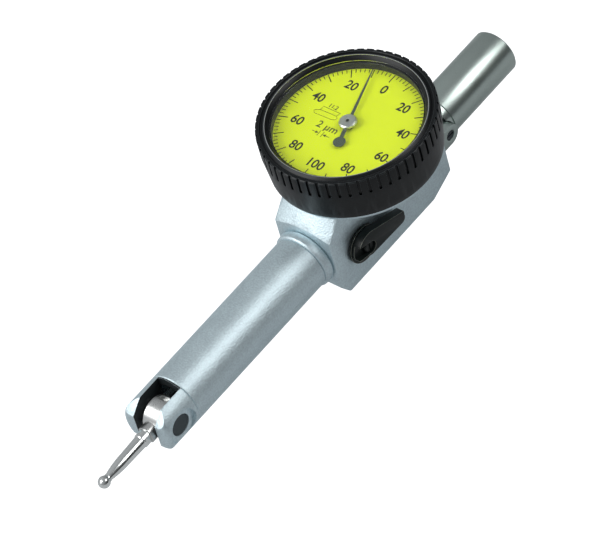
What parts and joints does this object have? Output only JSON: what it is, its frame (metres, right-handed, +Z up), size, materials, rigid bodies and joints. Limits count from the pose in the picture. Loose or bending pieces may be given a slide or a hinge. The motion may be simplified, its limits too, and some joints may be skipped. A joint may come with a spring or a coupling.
{
  "type": "dial test indicator",
  "caption": "Lever-type dial test indicator: a swinging ball contact drives a sector, crown wheel and pointer; yellow dial turns with its knurled bezel.",
  "frame": {"origin": "where the dial's axis meets the flat underside of the body", "axes": "+X along the tube towards the mounting stem, +Z up out of the dial, -Y towards the reversing lever"},
  "size_m": [0.1015, 0.0288, 0.0248],
  "materials": {
    "satin_body": "fine matt chrome plating over a machined body",
    "bright_steel": "ground and polished steel",
    "stem_steel": "ground steel with a slight green-grey cast",
    "black_rim": "black satin to gloss moulding",
    "black_lever": "blackened steel",
    "yellow_dial": "matt yellow-green paint with black print",
    "clear_crystal": "clear flat crystal",
    "dark_steel": "dark hardened steel",
    "brass_movement": "plain machined brass",
    "spring_steel": "blued spring steel"
  },
  "bodies": {
    "case": {"housing": "satin_body", "tube_collar": "satin_body", "probe_tube": "satin_body", "fork": "satin_body", "pivot_bearings": "dark_steel", "stem_bracket": "satin_body", "stem_screw": "bright_steel", "frame_plate_near": "brass_movement", "frame_plate_far": "brass_movement", "frame_pillars": "dark_steel", "frame_screws": "dark_steel", "pointer_cock": "brass_movement", "top_bridge": "brass_movement", "bridge_pillars": "dark_steel", "bridge_screws": "dark_steel", "hairspring": "spring_steel", "hairspring_stud": "brass_movement", "bezel_spring": "spring_steel", "lever_bush": "dark_steel", "lever_washer": "dark_steel", "bias_spring": "spring_steel"},
    "bezel": {"bezel": "black_rim", "crystal": "clear_crystal", "dial_face": "yellow_dial", "dial_retainer": "dark_steel"},
    "pointer": {"pointer": "black_lever", "pointer_cap": "bright_steel", "pointer_arbor": "dark_steel", "pointer_pinion": "dark_steel", "hairspring_collet": "brass_movement"},
    "crown": {"crown_wheel": "brass_movement", "crown_arbor": "dark_steel", "crown_pinion": "dark_steel"},
    "sector": {"sector_gear": "brass_movement", "sector_arbor": "dark_steel"},
    "lever_arm": {"lever_arm": "bright_steel", "pivot_shaft": "bright_steel", "drive_pin": "dark_steel", "clutch_washer": "dark_steel"},
    "contact_point": {"pivot_hub": "bright_steel", "contact_stylus": "bright_steel", "contact_ball": "bright_steel"},
    "reversing_lever": {"reversing_lever": "black_lever", "lever_screw": "black_lever", "lever_shaft": "dark_steel"},
    "stem": {"stem": "stem_steel"}
  },
  "joints": [
    {"name": "bezel_turn", "type": "hinge", "parent": "case", "child": "bezel", "pos_m": [0, 0, 0.0207], "axis": [0, 0, 1], "continuous": true},
    {"name": "contact_swing", "type": "hinge", "parent": "case", "child": "lever_arm", "pos_m": [-0.0518, 0, 0.0074], "axis": [0, 1, 0], "range_deg": [-0.44, 0.44], "stiffness_Nm_per_rad": 0.15},
    {"name": "stylus_set", "type": "hinge", "parent": "lever_arm", "child": "contact_point", "pos_m": [-0.0518, 0, 0.0074], "axis": [0, 1, 0], "range_deg": [-104, 106]},
    {"name": "sector_swing", "type": "hinge", "parent": "case", "child": "sector", "pos_m": [0.00832, 0, 0.0074], "axis": [0, 1, 0], "range_deg": [-4, 4]},
    {"name": "crown_turn", "type": "hinge", "parent": "case", "child": "crown", "pos_m": [0, 0, 0.0139], "axis": [0, 1, 0], "range_deg": [-40, 40]},
    {"name": "pointer_turn", "type": "hinge", "parent": "case", "child": "pointer", "pos_m": [0, 0, 0.0207], "axis": [0, 0, 1], "range_deg": [-200, 200]},
    {"name": "lever_throw", "type": "hinge", "parent": "case", "child": "reversing_lever", "pos_m": [-0.00875, 0, 0.00685], "axis": [0, 1, 0], "range_deg": [0, 28]},
    {"name": "stem_tilt", "type": "hinge", "parent": "case", "child": "stem", "pos_m": [0.01578, 0, 0.0074], "axis": [0, 1, 0], "range_deg": [-30, 30]}
  ],
  "couplings": [
    {"joint": "sector_swing", "follows": "contact_swing", "ratio": -9.0204},
    {"joint": "crown_turn", "follows": "contact_swing", "ratio": 90.204},
    {"joint": "pointer_turn", "follows": "contact_swing", "ratio": -451.02}
  ]
}
